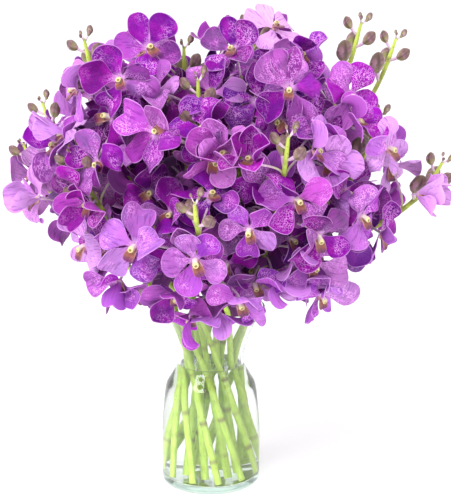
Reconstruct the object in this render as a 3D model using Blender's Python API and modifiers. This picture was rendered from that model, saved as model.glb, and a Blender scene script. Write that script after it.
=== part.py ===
"""Bouquet of cut orchid sprays standing in a clear glass vase of water.

Frame: metres, +Z up, origin at the middle of the vase's foot, on the surface that it stands on.
-Y is the bouquet's front. Each spray is one stem with its pedicels and buds, and each open flower
is a piece of its own, seated just off the end of its pedicel.
"""

import math

import bmesh
import bpy
from mathutils import Matrix, Vector

# ---------------------------------------------------------------- driving dimensions (metres)

GAP = 0.0004  # left between pieces that touch
SHARP_ANGLE = math.radians(50)

# Vase: outer radius at each height, from the foot to the lip
VASE_HEIGHT = 0.185
VASE_WALL = 0.0028
VASE_FLOOR = 0.007
BODY_RADIUS = 0.0500
NECK_RADIUS = 0.0340
MOUTH_RADIUS = 0.0550
FOOT_EDGE = 0.0045  # the foot's rounded edge
NECK_HEIGHT = 0.128
SHOULDER_START = 0.068
VASE_SIDES = 36

# Water: fills the vase to just under the neck
WATER_TOP = 0.125
WATER_SIDES = 36
HOLE_DEPTH = 0.0020  # how far a stem's hole in the water goes on below its foot

# Stems: they lean the same way round, so that they cross in the vase without meeting
STEM_FOOT_RADIUS = 0.0034
STEM_NECK_RADIUS = 0.0029
STEM_TIP_RADIUS = 0.0014
BIND_HEIGHT = NECK_HEIGHT + 0.003  # where the stems pass closest together
FOOT_TWIST = math.radians(66)  # how far round a foot stands from where its stem is bound
FOOT_CLEARANCE = 0.0038  # between the outer stems and the wall: at the foot
NECK_CLEARANCE = 0.0033  # in the neck
FLARE_CLEARANCE = 0.0002  # where the vase flares above it, before the stems' twist adds to it
RINGS = {  # shares of the circles that the stems stand on, are bound on and leave the mouth on
    "outer": {"foot": 1.00, "bind": 1.00, "mouth": 1.00, "stems": 10, "start": 107},
    "inner": {"foot": 0.50, "bind": 0.44, "mouth": 0.44, "stems": 6, "start": 70},
}
FOOT_CIRCLE = BODY_RADIUS - VASE_WALL - STEM_FOOT_RADIUS - FOOT_CLEARANCE
BIND_CIRCLE = NECK_RADIUS - VASE_WALL - STEM_NECK_RADIUS - NECK_CLEARANCE
MOUTH_HEIGHT = VASE_HEIGHT - 0.004
MOUTH_TWIST = math.radians(-28)  # how far round a stem is at the mouth from where it is bound
STEM_POINTS_ABOVE = 8

# Pedicels and buds
PEDICEL_RADIUS = 0.0012
PEDICEL_POINTS = 4
PEDICEL_LEAN = 0.6  # how far down the stem it starts, as a share of its distance from it
BUD_SPACING = 0.0115
BUD_TURN = math.radians(137.5)
BUD_SMALLEST = 0.0030
BUD_GROWTH = 0.0011

# Open flower: five tepals round a column, with a lip below it
TEPAL_THICKNESS = 0.0014
TEPAL_LENGTH = 0.0330
TEPAL_ANGLES = (90, 27, -50, 230, 153)  # dorsal sepal, petal, side sepal, side sepal, petal
TEPAL_SPREAD = 36  # degrees a tepal takes to each side of its middle, where there is room
TEPAL_EDGE = ((0.84, 0.62), (0.60, 0.90))  # share of that spread, share of the tepal's length
THROAT_RADIUS = 0.0080
COLUMN_LENGTH = 0.0075
COLUMN_RADIUS = 0.0026
LIP_LENGTH = 0.0130
LIP_THICKNESS = 0.0034

# How far forward the tepals' tips stand, and how far out, as shares of a tepal's length
FORMS = {
    "open": {"forward": 0.14, "reach": 1.00},
    "cupped": {"forward": 0.42, "reach": 0.92},
    "half_open": {"forward": 0.80, "reach": 0.62},
}

# ---------------------------------------------------------------- the arrangement

# Places are measured from the middle of the vase's lip, for tepals 33 mm long
SPREAD = TEPAL_LENGTH / 0.033

# Sprays of each ring in order round the vase: where each tip is, and how many buds it carries
SPRAYS = {
    "outer": [
        ("stem_01", (0.188, 0.070, 0.261), 5),
        ("stem_02", (0.055, 0.150, 0.215), 4),
        ("stem_03", (-0.090, 0.130, 0.225), 4),
        ("stem_04", (-0.171, 0.060, 0.197), 4),
        ("stem_05", (-0.183, -0.005, 0.165), 4),
        ("stem_06", (-0.124, -0.115, 0.177), 5),
        ("stem_07", (-0.012, -0.190, 0.145), 4),
        ("stem_08", (0.070, -0.165, 0.200), 4),
        ("stem_09", (0.158, -0.070, 0.203), 5),
        ("stem_10", (0.224, -0.035, 0.153), 5),
    ],
    "inner": [
        ("stem_11", (0.146, 0.000, 0.283), 5),
        ("stem_12", (0.045, 0.055, 0.281), 4),
        ("stem_13", (-0.025, -0.012, 0.261), 4),
        ("stem_14", (-0.118, -0.040, 0.271), 5),
        ("stem_15", (-0.010, -0.105, 0.241), 5),
        ("stem_16", (0.032, -0.085, 0.233), 4),
    ],
}

# Open flowers: stem, centre, heading (0 = front, 90 = right), lift above level, roll, form, size
BLOOMS = [
    ("stem_14", (-0.080, -0.112, 0.242), -12, 18, 22, "open", 1.00),
    ("stem_14", (-0.122, -0.086, 0.229), -62, 12, 25, "open", 0.95),
    ("stem_13", (-0.056, -0.062, 0.265), 8, 28, 28, "cupped", 0.95),
    ("stem_15", (-0.047, -0.150, 0.201), -14, 8, 118, "open", 1.05),
    ("stem_15", (0.004, -0.146, 0.177), 20, -14, -20, "cupped", 0.85),
    ("stem_16", (0.022, -0.078, 0.265), -24, 36, 10, "cupped", 0.95),
    ("stem_16", (0.072, -0.122, 0.235), -2, 10, -8, "open", 1.08),
    ("stem_06", (-0.141, -0.080, 0.177), -58, 22, 30, "cupped", 0.95),
    ("stem_04", (-0.143, 0.109, 0.168), -128, 18, 0, "open", 1.00),
    ("stem_05", (-0.162, -0.068, 0.124), -70, 6, 18, "cupped", 1.00),
    ("stem_05", (-0.178, 0.010, 0.133), -96, -8, -12, "cupped", 0.95),
    ("stem_06", (-0.108, -0.135, 0.133), -34, 10, 24, "half_open", 0.90),
    ("stem_06", (-0.116, -0.105, 0.087), -55, -14, -10, "open", 0.95),
    ("stem_06", (-0.082, -0.128, 0.059), -25, -42, 14, "cupped", 0.95),
    ("stem_07", (-0.066, -0.158, 0.099), -20, 2, -16, "open", 1.05),
    ("stem_07", (-0.012, -0.168, 0.089), 0, -12, 25, "cupped", 0.95),
    ("stem_07", (-0.030, -0.142, 0.051), -5, -45, -8, "cupped", 0.95),
    ("stem_07", (0.028, -0.142, 0.045), 14, -36, 20, "open", 0.95),
    ("stem_08", (0.078, -0.155, 0.141), 22, 2, 10, "open", 1.05),
    ("stem_08", (0.036, -0.160, 0.115), -12, -12, 22, "cupped", 0.80),
    ("stem_08", (0.036, -0.168, 0.179), -10, 34, -10, "half_open", 0.95),
    ("stem_08", (0.096, -0.132, 0.077), 26, -30, -18, "cupped", 0.95),
    ("stem_09", (0.128, -0.096, 0.225), 34, 12, 12, "open", 0.95),
    ("stem_08", (0.108, -0.128, 0.167), 10, 14, -24, "cupped", 0.95),
    ("stem_09", (0.164, -0.098, 0.177), 50, 6, 10, "open", 0.90),
    ("stem_10", (0.198, -0.062, 0.127), 70, 12, -8, "half_open", 0.95),
    ("stem_09", (0.139, -0.128, 0.120), 42, -6, 12, "open", 1.00),
    ("stem_10", (0.162, -0.080, 0.093), 62, -22, -6, "cupped", 0.90),
    ("stem_12", (0.062, 0.010, 0.277), 30, 58, 0, "open", 0.95),
    ("stem_12", (0.062, 0.078, 0.259), 168, 30, 10, "open", 1.00),
    ("stem_11", (0.086, -0.040, 0.255), 10, 34, 0, "cupped", 0.90),
    ("stem_11", (0.110, 0.050, 0.227), 140, 30, 0, "open", 0.95),
    ("stem_01", (0.140, 0.112, 0.200), 140, 20, 8, "open", 1.00),
    ("stem_01", (0.172, 0.082, 0.149), 98, 4, -12, "open", 0.95),
    ("stem_02", (0.092, 0.160, 0.175), 160, 8, 16, "cupped", 1.00),
    ("stem_02", (0.022, 0.172, 0.150), 178, -2, -10, "open", 1.00),
    ("stem_03", (-0.062, 0.085, 0.243), -158, 42, 6, "cupped", 0.95),
    ("stem_03", (-0.070, 0.160, 0.187), -164, 10, -14, "open", 1.00),
    ("stem_03", (-0.105, 0.130, 0.115), -148, -8, 10, "cupped", 1.00),
    ("stem_02", (0.082, 0.140, 0.095), 158, -14, 0, "open", 1.00),
    ("stem_02", (-0.020, 0.145, 0.073), -174, -22, 12, "cupped", 1.00),
    ("stem_01", (0.138, 0.088, 0.085), 112, -16, 10, "cupped", 1.00),
]

# ---------------------------------------------------------------- scene helpers


def clear_scene():
    for obj in list(bpy.data.objects):
        bpy.data.objects.remove(obj, do_unlink=True)


def new_collection(name, helper=False):
    collection = bpy.data.collections.new(name)
    bpy.context.scene.collection.children.link(collection)
    collection.hide_render = helper
    return collection


def material(name, colour, roughness, transmission=0.0):
    made = bpy.data.materials.new(name)
    made.use_nodes = True
    shader = made.node_tree.nodes["Principled BSDF"]
    shader.inputs["Base Color"].default_value = (*colour, 1.0)
    shader.inputs["Roughness"].default_value = roughness
    shader.inputs["Metallic"].default_value = 0.0
    shader.inputs["Transmission Weight"].default_value = transmission
    return made


def add_object(name, data, collection, surface=None):
    obj = bpy.data.objects.new(name, data)
    collection.objects.link(obj)
    if surface:
        obj.data.materials.clear()
        obj.data.materials.append(surface)
    return obj


def as_helper(obj):
    obj.hide_render = True
    obj.display_type = "WIRE"
    return obj


def evaluated_mesh(obj):
    """The object's mesh with its modifiers applied, in its own axes."""
    bpy.context.view_layer.update()
    graph = bpy.context.evaluated_depsgraph_get()
    return bpy.data.meshes.new_from_object(obj.evaluated_get(graph))


def add_boolean(obj, operation, others):
    modifier = obj.modifiers.new(operation.lower(), "BOOLEAN")
    modifier.operation = operation
    modifier.solver = "EXACT"
    modifier.operand_type = "COLLECTION"
    modifier.collection = others


def tube_mesh(name, points, radii, sides_level):
    """A closed tube along points, with a radius at each: a bevelled curve made a mesh with welded caps."""
    curve = bpy.data.curves.new(name, "CURVE")
    curve.dimensions = "3D"
    curve.bevel_depth = 1.0
    curve.bevel_resolution = sides_level
    curve.use_fill_caps = True
    spline = curve.splines.new("POLY")
    spline.points.add(len(points) - 1)
    for point, place, radius in zip(spline.points, points, radii):
        point.co = (*place, 1.0)
        point.radius = radius
    guide = bpy.data.objects.new(name + "_guide", curve)
    bpy.context.scene.collection.objects.link(guide)
    mesh = evaluated_mesh(guide)
    bpy.data.objects.remove(guide, do_unlink=True)
    mesh.name = name
    welded = bmesh.new()
    welded.from_mesh(mesh)
    bmesh.ops.remove_doubles(welded, verts=welded.verts, dist=1e-6)
    bmesh.ops.recalc_face_normals(welded, faces=welded.faces)
    welded.to_mesh(mesh)
    welded.free()
    mesh.shade_smooth()
    mesh.set_sharp_from_angle(angle=SHARP_ANGLE)
    return mesh


def turned_mesh(name, profile, sides):
    """A closed turned body: (radius, height) from the bottom middle round the outside to the top middle."""
    outline = bpy.data.meshes.new(name + "_outline")
    corners = [(radius, 0.0, height) for radius, height in profile]
    edges = [(i, i + 1) for i in range(len(corners) - 1)]
    outline.from_pydata(corners, edges, [])
    guide = bpy.data.objects.new(name + "_outline", outline)
    bpy.context.scene.collection.objects.link(guide)
    screw = guide.modifiers.new("turn", "SCREW")
    screw.axis = "Z"
    screw.steps = sides
    screw.render_steps = sides
    screw.use_merge_vertices = True
    screw.merge_threshold = 0.00001
    mesh = evaluated_mesh(guide)
    bpy.data.objects.remove(guide, do_unlink=True)
    mesh.name = name
    welded = bmesh.new()
    welded.from_mesh(mesh)
    bmesh.ops.remove_doubles(welded, verts=welded.verts, dist=1e-6)
    bmesh.ops.recalc_face_normals(welded, faces=welded.faces)
    welded.to_mesh(mesh)
    welded.free()
    mesh.shade_smooth()
    mesh.set_sharp_from_angle(angle=SHARP_ANGLE)
    return mesh


# ---------------------------------------------------------------- vase and water


def vase_outside():
    """(radius, height) up the outside, from the foot's edge to the lip."""
    shoulder = NECK_HEIGHT - SHOULDER_START
    rise = VASE_HEIGHT - NECK_HEIGHT
    flare = MOUTH_RADIUS - NECK_RADIUS
    return [
        (BODY_RADIUS - FOOT_EDGE, 0.0),
        (BODY_RADIUS - FOOT_EDGE * 0.3, FOOT_EDGE * 0.3),
        (BODY_RADIUS, FOOT_EDGE),
        (BODY_RADIUS, SHOULDER_START * 0.8),
        (BODY_RADIUS * 0.90 + NECK_RADIUS * 0.10, SHOULDER_START + shoulder * 0.17),
        (BODY_RADIUS * 0.72 + NECK_RADIUS * 0.28, SHOULDER_START + shoulder * 0.57),
        (BODY_RADIUS * 0.36 + NECK_RADIUS * 0.64, SHOULDER_START + shoulder * 0.75),
        (BODY_RADIUS * 0.06 + NECK_RADIUS * 0.94, SHOULDER_START + shoulder * 0.90),
        (NECK_RADIUS, NECK_HEIGHT),
        (NECK_RADIUS + flare * 0.06, NECK_HEIGHT + rise * 0.22),
        (NECK_RADIUS + flare * 0.27, NECK_HEIGHT + rise * 0.48),
        (NECK_RADIUS + flare * 0.62, NECK_HEIGHT + rise * 0.77),
        (MOUTH_RADIUS, VASE_HEIGHT - VASE_WALL * 0.35),
    ]


def inside_of(outside, inset):
    """The same profile moved in by inset, from the floor up."""
    first_wall = 2
    inner = [(BODY_RADIUS - FOOT_EDGE - inset, VASE_FLOOR)]
    inner.append((BODY_RADIUS - inset, VASE_FLOOR + FOOT_EDGE))
    inner += [(radius - inset, height) for radius, height in outside[first_wall + 1 :]]
    return inner


def build_vase(collection, surface):
    outside = vase_outside()
    inside = inside_of(outside, VASE_WALL)
    lip = (MOUTH_RADIUS - VASE_WALL * 0.5, VASE_HEIGHT)
    profile = [(0.0, 0.0), *outside, lip, *reversed(inside), (0.0, VASE_FLOOR)]
    return add_object("vase", turned_mesh("vase", profile, VASE_SIDES), collection, surface)


def build_water(collection, helpers, surface, routes):
    """The vase's filling, with a hole a gap wider than each stem that stands in it."""
    inside = inside_of(vase_outside(), VASE_WALL + GAP)
    profile = [(0.0, VASE_FLOOR + GAP)]
    profile.append((inside[0][0], VASE_FLOOR + GAP))
    profile += [corner for corner in inside[1:] if corner[1] < WATER_TOP - 0.001]
    lower = profile[-1]
    upper = next(corner for corner in inside if corner[1] >= WATER_TOP - 0.001)
    share = (WATER_TOP - lower[1]) / (upper[1] - lower[1])
    profile.append((lower[0] + (upper[0] - lower[0]) * share, WATER_TOP))
    profile.append((0.0, WATER_TOP))
    water = add_object("water", turned_mesh("water", profile, WATER_SIDES), collection, surface)
    holes = bpy.data.collections.new("stem_holes")
    helpers.children.link(holes)
    for name, route in routes.items():
        foot, bind, mouth = route[:3]
        below = foot - (bind - foot).normalized() * HOLE_DEPTH
        radii = [radius + GAP for radius in (STEM_FOOT_RADIUS, STEM_NECK_RADIUS, STEM_NECK_RADIUS)]
        hole = tube_mesh(name + "_hole", [below, bind, mouth], radii, 2)
        as_helper(add_object(name + "_hole", hole, holes))
    return water, "DIFFERENCE", holes


# ---------------------------------------------------------------- stems


def on_circle(radius, angle, height):
    return Vector((radius * math.cos(angle), radius * math.sin(angle), height))


def placed(spot):
    """A place of the tables, spread for the flowers' size and standing on the vase's lip."""
    return Vector(spot) * SPREAD + Vector((0, 0, VASE_HEIGHT))


def bezier(start, leave, arrive, end, share):
    rest = 1.0 - share
    return (
        start * rest**3
        + leave * (3 * rest**2 * share)
        + arrive * (3 * rest * share**2)
        + end * share**3
    )


def mouth_circle():
    """How far out the outer stems stand at the mouth: as far as the flare lets them lean from their binding."""
    slopes = []
    for radius, height in vase_outside():
        if height > BIND_HEIGHT:
            free = radius - VASE_WALL - STEM_NECK_RADIUS - FLARE_CLEARANCE
            slopes.append((free - BIND_CIRCLE) / (height - BIND_HEIGHT))
    return BIND_CIRCLE + min(slopes) * (MOUTH_HEIGHT - BIND_HEIGHT)


def stem_route(ring, place, tip):
    """Points of a stem: straight from its cut foot past its binding to the mouth, then out and up to its tip."""
    angle = math.radians(ring["start"]) + 2 * math.pi / ring["stems"] * place
    standing = VASE_FLOOR + GAP + STEM_FOOT_RADIUS * 0.35
    foot = on_circle(FOOT_CIRCLE * ring["foot"], angle + FOOT_TWIST, standing)
    bind = on_circle(BIND_CIRCLE * ring["bind"], angle, BIND_HEIGHT)
    mouth = on_circle(mouth_circle() * ring["mouth"], angle + MOUTH_TWIST, MOUTH_HEIGHT)
    tip = placed(tip)
    reach = (tip - mouth).length
    outward = Vector((tip.x, tip.y, 0.0)) - Vector((mouth.x, mouth.y, 0.0))
    lean = outward.length / reach
    leaving = (outward.normalized() * lean * 1.05 + Vector((0, 0, 0.85))).normalized()
    arriving = (outward.normalized() * lean * 0.45 + Vector((0, 0, 0.90))).normalized()
    leave = mouth + leaving * (reach * 0.36)
    arrive = tip - arriving * (reach * 0.32)
    above = [
        bezier(mouth, leave, arrive, tip, i / STEM_POINTS_ABOVE)
        for i in range(1, STEM_POINTS_ABOVE + 1)
    ]
    return [foot, bind, mouth, *above]


def stem_radii(route):
    """Thick at the foot, thinner at the neck, and tapering evenly from there to the tip."""
    steps = len(route) - 3
    upper = [
        STEM_NECK_RADIUS + (STEM_TIP_RADIUS - STEM_NECK_RADIUS) * i / steps
        for i in range(steps + 1)
    ]
    return [STEM_FOOT_RADIUS, STEM_NECK_RADIUS, *upper]


def point_along(route, back):
    """(place, direction) at a distance back from the route's tip."""
    left = back
    for near, far in zip(reversed(route[1:]), reversed(route[:-1])):
        span = (near - far).length
        if left <= span:
            return near + (far - near) * (left / span), (near - far).normalized()
        left -= span
    return route[0].copy(), (route[1] - route[0]).normalized()


def bud_mesh(name, route, number):
    """A bud on its own short pedicel: a tube that swells and closes."""
    back = BUD_SPACING * (number + 0.2)
    start, axis = point_along(route, back)
    side = axis.orthogonal().normalized()
    side.rotate(Matrix.Rotation(BUD_TURN * number, 3, axis))
    heading = (axis * 0.75 + side * 0.85).normalized()
    radius = BUD_SMALLEST + BUD_GROWTH * number
    stalk = 0.0050 + radius * 1.2
    bend = start + side * (stalk * 0.5) + axis * (stalk * 0.35)
    neck = bend + heading * (stalk * 0.6)
    points = [start, bend, neck, neck + heading * (radius * 1.1), neck + heading * (radius * 2.6)]
    radii = [PEDICEL_RADIUS, PEDICEL_RADIUS * 0.8, PEDICEL_RADIUS, radius, radius * 0.3]
    return tube_mesh(name, points, radii, 1)


def pedicel_mesh(name, route, bloom_back, facing):
    """From the stem to the back of an open flower, leaving along the stem and arriving along the flower's axis."""
    step = 0.004
    spots = [point_along(route, 0.010 + step * i) for i in range(60)]
    distances = [(place - bloom_back).length for place, _ in spots]
    nearest = distances.index(min(distances))
    below = round(distances[nearest] * PEDICEL_LEAN / step)
    start, axis = spots[min(nearest + below, len(spots) - 1)]
    reach = (bloom_back - start).length
    leave = start + axis * (reach * 0.30) + (bloom_back - start) * 0.12
    arrive = bloom_back - facing * (reach * 0.34)
    points = [
        bezier(start, leave, arrive, bloom_back, i / (PEDICEL_POINTS - 1))
        for i in range(PEDICEL_POINTS)
    ]
    return tube_mesh(name, points, [PEDICEL_RADIUS] * PEDICEL_POINTS, 0)


def build_stem(name, route, buds, seats, collection, helpers, surface):
    """One spray's stem with its buds, and a pedicel to each of its open flowers, as one body."""
    mesh = tube_mesh(name, route, stem_radii(route), 2)
    stem = add_object(name, mesh, collection, surface)
    shoots = bpy.data.collections.new(name + "_shoots")
    helpers.children.link(shoots)
    for number in range(buds):
        bud = name + f"_bud_{number + 1}"
        as_helper(add_object(bud, bud_mesh(bud, route, number), shoots))
    for number, (back, facing) in enumerate(seats, 1):
        pedicel = name + f"_pedicel_{number}"
        as_helper(add_object(pedicel, pedicel_mesh(pedicel, route, back, facing), shoots))
    return stem, "UNION", shoots


# ---------------------------------------------------------------- open flowers


def flower_sheet(name, form):
    """The five tepals round a flat throat as one sheet, with their tips standing forward."""
    length = TEPAL_LENGTH * form["reach"]
    rise = TEPAL_LENGTH * form["forward"]
    sheet = bmesh.new()

    def corner(angle, out):
        return sheet.verts.new(on_circle(length * out, math.radians(angle), rise * out**1.5))

    halves = []
    for number, angle in enumerate(TEPAL_ANGLES):
        following = TEPAL_ANGLES[(number + 1) % len(TEPAL_ANGLES)]
        halves.append((angle - following) % 360 / 2)
    notches = [corner(a - h, THROAT_RADIUS / length) for a, h in zip(TEPAL_ANGLES, halves)]
    for number, angle in enumerate(TEPAL_ANGLES):
        before, after = (min(halves[i], TEPAL_SPREAD) for i in (number - 1, number))
        edge = [notches[number - 1]]
        edge += [corner(angle + before * turn, out) for turn, out in TEPAL_EDGE]
        edge.append(corner(angle, 1.0))
        edge += [corner(angle - after * turn, out) for turn, out in reversed(TEPAL_EDGE)]
        edge.append(notches[number])
        sheet.faces.new(reversed(edge))
    sheet.faces.new(reversed(notches))
    mesh = bpy.data.meshes.new(name)
    sheet.to_mesh(mesh)
    sheet.free()
    return mesh


def cone_mesh(name, base, tip, base_radius, tip_radius, sides=5):
    """A closed tapered plug from base to tip."""
    axis = tip - base
    turn = Vector((0, 0, 1)).rotation_difference(axis).to_matrix().to_4x4()
    place = Matrix.Translation((base + tip) / 2) @ turn
    body = bmesh.new()
    bmesh.ops.create_cone(
        body,
        cap_ends=True,
        segments=sides,
        radius1=base_radius,
        radius2=tip_radius,
        depth=axis.length,
        matrix=place,
    )
    mesh = bpy.data.meshes.new(name)
    body.to_mesh(mesh)
    body.free()
    return mesh


def flower_mesh(form_name, helpers):
    """One flower as a closed body: solid tepals joined with the column and the lip."""
    sheet = add_object(
        "tepals_" + form_name, flower_sheet("tepals_" + form_name, FORMS[form_name]), helpers
    )
    solid = sheet.modifiers.new("thickness", "SOLIDIFY")
    solid.thickness = TEPAL_THICKNESS
    solid.offset = -1.0
    column = cone_mesh(
        "column_" + form_name,
        Vector((0, 0, -TEPAL_THICKNESS * 0.5)),
        Vector((0, 0.0008, COLUMN_LENGTH)),
        COLUMN_RADIUS * 1.25,
        COLUMN_RADIUS * 0.8,
    )
    lip = cone_mesh(
        "lip_" + form_name,
        Vector((0, -COLUMN_RADIUS * 0.6, TEPAL_THICKNESS * 0.2)),
        Vector((0, -LIP_LENGTH * 0.72, LIP_LENGTH * 0.62)),
        LIP_THICKNESS,
        LIP_THICKNESS * 0.6,
    )
    plugs = bpy.data.collections.new("plugs_" + form_name)
    helpers.children.link(plugs)
    for plug in (column, lip):
        as_helper(add_object(plug.name, plug, plugs))
    add_boolean(sheet, "UNION", plugs)
    mesh = evaluated_mesh(sheet)
    mesh.name = "flower_" + form_name
    as_helper(sheet)
    return mesh


def facing_of(heading, lift):
    """Unit vector: heading 0 looks to the front and 90 to the right, lift is above level."""
    around, up = math.radians(heading), math.radians(lift)
    return Vector(
        (math.sin(around) * math.cos(up), -math.cos(around) * math.cos(up), math.sin(up))
    )


def flower_matrix(centre, facing, roll, size):
    """+Z of the flower along its facing, +Y to its dorsal sepal, turned by roll."""
    right = Vector((0, 0, 1)).cross(facing).normalized()
    up = facing.cross(right)
    turn = Matrix((right, up, facing)).transposed()
    turn = turn @ Matrix.Rotation(math.radians(roll), 3, "Z")
    return Matrix.Translation(centre) @ turn.to_4x4() @ Matrix.Scale(size, 4)


def build_blooms(collection, helpers, surface):
    """Places every open flower, and returns where each stem has to reach: the flower's back and facing."""
    meshes = {name: flower_mesh(name, helpers) for name in FORMS}
    seats = {}
    for number, row in enumerate(BLOOMS, 1):
        stem, spot, heading, lift, roll, form, size = row
        facing = facing_of(heading, lift)
        centre = placed(spot)
        bloom = add_object(f"bloom_{number:02d}", meshes[form], collection, surface)
        bloom.matrix_world = flower_matrix(centre, facing, roll, size)
        back = centre - facing * (TEPAL_THICKNESS * size + GAP)
        seats.setdefault(stem, []).append((back, facing))
    return seats


# ---------------------------------------------------------------- assembly


def main():
    clear_scene()
    bouquet = new_collection("orchid_bouquet")
    helpers = new_collection("helpers", helper=True)
    glass = material("clear_glass", (0.90, 0.97, 0.95), 0.03, transmission=1.0)
    liquid = material("water", (0.93, 0.98, 0.97), 0.0, transmission=1.0)
    green = material("green_stem", (0.42, 0.62, 0.13), 0.45)
    purple = material("purple_tepal", (0.46, 0.08, 0.62), 0.50)

    routes, buds = {}, {}
    for ring_name, sprays in SPRAYS.items():
        for place, (name, tip, bud_count) in enumerate(sprays):
            routes[name] = stem_route(RINGS[ring_name], place, tip)
            buds[name] = bud_count

    build_vase(bouquet, glass)
    seats = build_blooms(bouquet, helpers, purple)
    joins = [build_water(bouquet, helpers, liquid, routes)]
    for name, route in routes.items():
        joins.append(
            build_stem(name, route, buds[name], seats.get(name, []), bouquet, helpers, green)
        )
    for body, operation, others in joins:
        add_boolean(body, operation, others)


main()
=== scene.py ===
"""Looks of the orchid bouquet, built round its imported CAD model.

Every flower, spray, pane of glass and body of water here stands for a CAD node, in the same place,
or fills the bouquet between them. Lengths are in metres. -Y is the bouquet's front.
"""

import math
import random

import bpy
import numpy as np
from mathutils import Matrix, Vector


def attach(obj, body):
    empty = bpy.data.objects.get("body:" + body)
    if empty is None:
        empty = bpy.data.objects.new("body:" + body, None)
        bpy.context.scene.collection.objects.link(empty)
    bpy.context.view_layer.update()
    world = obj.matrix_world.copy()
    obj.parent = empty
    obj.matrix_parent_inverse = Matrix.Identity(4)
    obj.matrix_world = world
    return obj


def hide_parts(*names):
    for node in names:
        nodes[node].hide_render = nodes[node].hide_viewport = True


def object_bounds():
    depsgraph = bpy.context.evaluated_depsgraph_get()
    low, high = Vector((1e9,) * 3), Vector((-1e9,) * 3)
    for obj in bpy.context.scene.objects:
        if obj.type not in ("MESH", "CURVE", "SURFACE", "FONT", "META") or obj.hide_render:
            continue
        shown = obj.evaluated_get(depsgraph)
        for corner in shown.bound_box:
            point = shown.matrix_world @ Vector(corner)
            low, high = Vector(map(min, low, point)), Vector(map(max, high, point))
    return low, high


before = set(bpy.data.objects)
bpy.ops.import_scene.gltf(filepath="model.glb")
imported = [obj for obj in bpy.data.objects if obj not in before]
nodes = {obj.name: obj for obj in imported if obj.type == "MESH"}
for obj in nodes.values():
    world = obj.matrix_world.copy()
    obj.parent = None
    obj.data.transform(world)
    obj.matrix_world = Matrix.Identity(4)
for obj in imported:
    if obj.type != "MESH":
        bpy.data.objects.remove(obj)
cad_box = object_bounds()

# -------- sizes shared with the CAD model

GAP = 0.0004
VASE_HEIGHT = 0.185
VASE_WALL = 0.0028
VASE_FLOOR = 0.007
BODY_RADIUS = 0.0500
NECK_RADIUS = 0.0340
MOUTH_RADIUS = 0.0550
FOOT_EDGE = 0.0045
NECK_HEIGHT = 0.128
SHOULDER_START = 0.068
WATER_TOP = 0.125

STEM_FOOT_RADIUS = 0.0034
STEM_NECK_RADIUS = 0.0029
STEM_TIP_RADIUS = 0.0014
BIND_HEIGHT = NECK_HEIGHT + 0.003
FOOT_TWIST = math.radians(66)
FOOT_CLEARANCE = 0.0038
NECK_CLEARANCE = 0.0033
FLARE_CLEARANCE = 0.0002
RINGS = {
    "outer": {"foot": 1.00, "bind": 1.00, "mouth": 1.00, "stems": 10, "start": 107},
    "inner": {"foot": 0.50, "bind": 0.44, "mouth": 0.44, "stems": 6, "start": 70},
}
FOOT_CIRCLE = BODY_RADIUS - VASE_WALL - STEM_FOOT_RADIUS - FOOT_CLEARANCE
BIND_CIRCLE = NECK_RADIUS - VASE_WALL - STEM_NECK_RADIUS - NECK_CLEARANCE
MOUTH_HEIGHT = VASE_HEIGHT - 0.004
MOUTH_TWIST = math.radians(-28)
PEDICEL_RADIUS = 0.0012
PEDICEL_LEAN = 0.6
BUD_SPACING = 0.0115
BUD_TURN = math.radians(137.5)
BUD_SMALLEST = 0.0030
BUD_GROWTH = 0.0011
TEPAL_THICKNESS = 0.0014

# Each stem's tip, measured from the middle of the vase's lip, and its number of buds, from stem_01 on
SPRAYS = {
    "outer": [
        ((0.188, 0.070, 0.261), 5),
        ((0.055, 0.150, 0.215), 4),
        ((-0.090, 0.130, 0.225), 4),
        ((-0.171, 0.060, 0.197), 4),
        ((-0.183, -0.005, 0.165), 4),
        ((-0.124, -0.115, 0.177), 5),
        ((-0.012, -0.190, 0.145), 4),
        ((0.070, -0.165, 0.200), 4),
        ((0.158, -0.070, 0.203), 5),
        ((0.224, -0.035, 0.153), 5),
    ],
    "inner": [
        ((0.146, 0.000, 0.283), 5),
        ((0.045, 0.055, 0.281), 4),
        ((-0.025, -0.012, 0.261), 4),
        ((-0.118, -0.040, 0.271), 5),
        ((-0.010, -0.105, 0.241), 5),
        ((0.032, -0.085, 0.233), 4),
    ],
}

# -------- this script's own values

STALK_SWELLING = 0.0007
TIP_BUDS = 3
TIP_BUD_RADIUS = 0.0015
TIP_BUD_SPACING = 0.0012
TEPAL_SHEET = 0.0006
LIP_LENGTH = 0.0150
LIP_HALF_WIDTH = 0.0040
LOBE_HEIGHT = 0.0052
LOBE_HALF_WIDTH = 0.0026
FILLER_BACK = 0.0010
PEDICEL_REACH = 0.0012
WATER_SINK = 0.00012
MENISCUS = 0.0015

# How freely a flower's tepals leave the CAD's shape; near the sides of the CAD's box they stay calm
CALM = 0.8
WILD = 1.5
WILD_BETWEEN = 1.3
WILD_INSIDE = 1.6
ROOM_FOR_WILD = 0.033
FOLDED_SHARE = 0.13

SEEDS = {"flower": 100, "spray": 300, "filler": 500, "tone": 900, "places": 41}

CAMERA_PLACE = (0.015, -1.475, 0.603)
CAMERA_TILT = 13.75
CAMERA_LENS = 109.4
FLOOR_HALF = 6.0
WORLD_LIGHT = 1.16
LAMPS = (  # name, place, size, power
    ("key", (-1.1, -1.5, 1.9), 1.5, 46.0),
    ("fill", (1.6, -1.2, 0.9), 1.4, 6.0),
)
LAMPS_AIM = Vector((0.0, 0.0, 0.28))

# -------- materials


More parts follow.
